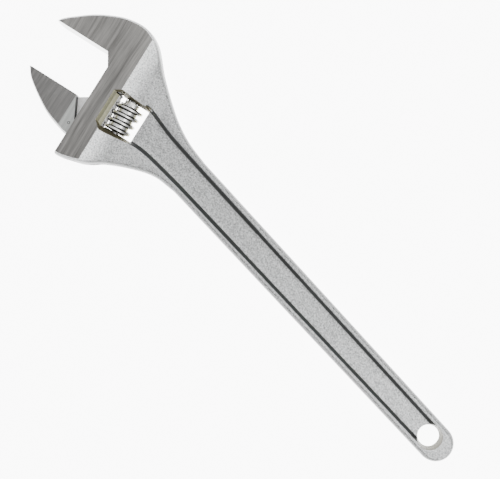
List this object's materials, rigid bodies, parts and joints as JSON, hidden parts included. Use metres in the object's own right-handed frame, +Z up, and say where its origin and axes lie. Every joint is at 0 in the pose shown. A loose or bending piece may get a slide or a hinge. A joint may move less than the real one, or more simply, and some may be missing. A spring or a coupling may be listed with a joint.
{
  "type": "adjustable wrench",
  "caption": "Adjustable wrench with a ribbed I-section handle, an angled head, a sliding jaw driven by a thumb knurl, and a hanging hole.",
  "frame": {"origin": "middle of the wrench's bounding box, on the flat that it lies on", "axes": "+X along the handle from the jaws to the hanging hole, +Y towards the fixed jaw's back, +Z up through the thickness"},
  "size_m": [0.4518, 0.1186, 0.028],
  "materials": {
    "satin_chrome": "satin chrome over a shot-blasted forging, ground bright on the head",
    "ground_steel": "ground",
    "bright_plated_steel": "bright plated",
    "dark_steel": "plain",
    "spring_steel": "plain"
  },
  "bodies": {
    "wrench": {"wrench_body": "satin_chrome", "knurl_pin": "dark_steel", "knurl_spring": "spring_steel"},
    "jaw": {"movable_jaw": "ground_steel"},
    "knurl": {"adjusting_knurl": "bright_plated_steel"}
  },
  "joints": [
    {"name": "jaw_slide", "type": "slide", "parent": "wrench", "child": "jaw", "axis": [0.2588, -0.9659, 0], "range_m": [-0.0401, 0.0126]},
    {"name": "knurl_spin", "type": "hinge", "parent": "wrench", "child": "knurl", "pos_m": [-0.13759, -0.00094, 0.014], "axis": [0.2588, -0.9659, 0], "range_deg": [-750, 2375]}
  ],
  "couplings": [
    {"joint": "knurl_spin", "follows": "jaw_slide", "rad_per_m": -1030}
  ]
}
